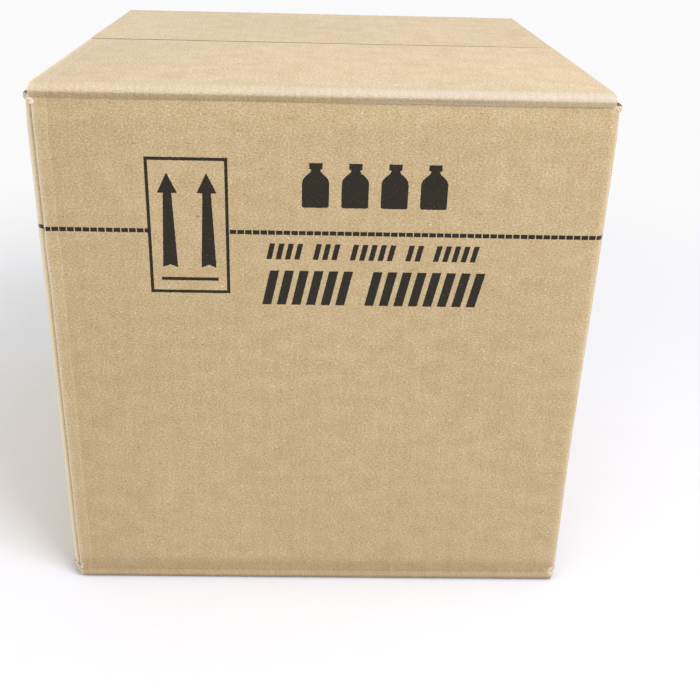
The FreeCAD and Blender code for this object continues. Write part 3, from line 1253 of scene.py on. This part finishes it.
def add_camera():
    """The viewpoint: in front of the carton, above its top and turned a little."""
    yaw, pitch, roll = math.radians(1.54), math.radians(25.10), math.radians(1.48)
    ahead = Vector((math.sin(yaw) * math.cos(pitch), math.cos(yaw) * math.cos(pitch), -math.sin(pitch)))
    level = Vector((math.cos(yaw), -math.sin(yaw), 0))
    upright = level.cross(ahead)
    right = math.cos(roll) * level + math.sin(roll) * upright
    top = math.cos(roll) * upright - math.sin(roll) * level
    camera = bpy.data.cameras.new("camera")
    camera.lens = 50.24
    camera.sensor_width = 36
    camera.shift_x = 0.0207
    camera.shift_y = -0.0186
    camera.clip_start = 0.01
    camera.clip_end = 60
    holder = add_object("camera", camera)
    turned = Matrix((right, top, -ahead)).transposed().to_4x4()
    holder.matrix_world = Matrix.Translation((-0.0047, -0.6730, 0.4169)) @ turned
    bpy.context.scene.camera = holder


def add_floor(studio):
    """A pale floor, evenly pale far from the carton, that gives little light back."""
    bm = bmesh.new()
    bmesh.ops.create_grid(bm, x_segments=2, y_segments=2, size=12)
    mesh = bpy.data.meshes.new("floor")
    bm.to_mesh(mesh)
    bm.free()
    shader = Shader("floor")
    place = shader.field("ShaderNodeTexCoord", "Object")
    speckle = shader.ease(shader.noise(place, 2.0, scale=40.0), 0.3, 0.7, 0.0, 0.02)
    tone = shader.tint(whole(studio.floor), speckle, (0.5, 0.5, 0.5))
    near = shader.field("ShaderNodeBsdfDiffuse", "BSDF", {"Color": tone})
    pale = {"Color": whole(studio.backdrop), "Strength": 1.0}
    far = shader.field("ShaderNodeEmission", "Emission", pale)
    distance = shader.field("ShaderNodeVectorMath", "Value", {0: place}, operation="LENGTH")
    seen = shader.either(shader.ease(distance, 0.28, 0.9), near, far)
    given_back = shader.field("ShaderNodeBsdfDiffuse", "BSDF", {"Color": whole([studio.bounce] * 3)})
    surface = shader.either(shader.shown(), given_back, seen)
    shader.node("ShaderNodeOutputMaterial", {"Surface": surface})
    mesh.materials.append(shader.made)
    floor = add_object("floor", mesh)


def add_sky(studio):
    """The room's even light, with a pale backdrop where the camera looks past the floor."""
    shader = Shader("studio", "worlds")

    def glow(tone, strength):
        inputs = {"Color": whole(tone), "Strength": strength}
        return shader.field("ShaderNodeBackground", "Background", inputs)

    sky = shader.either(shader.shown(), glow((1, 1, 1), studio.sky), glow(studio.backdrop, 1.0))
    shader.node("ShaderNodeOutputWorld", {"Surface": sky})
    bpy.context.scene.world = shader.made


class CARTON_OT_set_stage(bpy.types.Operator):
    """Set up the floor, the soft lamps and the camera"""
    bl_idname = "carton.set_stage"
    bl_label = "Set Stage"

    def execute(self, context):
        studio = context.scene.carton_studio
        add_floor(studio)
        add_sky(studio)
        add_lamp("top_lamp", (0.5, -0.2, 2.0), (0, 0, 0.2), 2.0, studio.top, (1, 1, 1))
        add_lamp("key_lamp", (1.3, -1.3, 1.6), (0, 0, 0.15), 1.2, studio.key, (1, 0.995, 1.09))
        add_lamp("fill_lamp", (-1.1, -1.6, 1.5), (0, 0, 0.15), 1.4, studio.fill, (1, 0.99, 0.94))
        add_lamp("side_lamp", (-1.1, -0.15, 0.16), (0, -0.05, 0.16), 0.3, studio.side, (1, 1, 1))
        add_camera()
        context.scene.view_settings.view_transform = "Standard"
        return {"FINISHED"}


class CARTON_PT_builder(bpy.types.Panel):
    """The carton's steps and sizes"""
    bl_idname = "CARTON_PT_builder"
    bl_label = "Shipping Carton"
    bl_space_type = "VIEW_3D"
    bl_region_type = "UI"
    bl_category = "Carton"

    def draw(self, context):
        for step in STEPS:
            self.layout.operator(step.bl_idname)
        for name in GROUPS:
            group = getattr(context.scene, name)
            for prop in group.__annotations__:
                self.layout.prop(group, prop)


GROUPS = {
    "carton_sizes": CartonSizes,
    "carton_paper": CartonPaper,
    "carton_print": CartonPrint,
    "carton_studio": CartonStudio,
}
STEPS = (CARTON_OT_fold_board, CARTON_OT_set_medium, CARTON_OT_tear_liner, CARTON_OT_set_stage)
CLASSES = (*GROUPS.values(), *STEPS, CARTON_PT_builder)


def register():
    for item in CLASSES:
        bpy.utils.register_class(item)
    for name, group in GROUPS.items():
        setattr(bpy.types.Scene, name, PointerProperty(type=group))


def unregister():
    for name in GROUPS:
        delattr(bpy.types.Scene, name)
    for item in reversed(CLASSES):
        bpy.utils.unregister_class(item)


def main():
    register()
    bpy.ops.carton.fold_board()
    bpy.ops.carton.set_medium()
    bpy.ops.carton.tear_liner()
    bpy.ops.carton.set_stage()


if __name__ == "__main__":
    main()
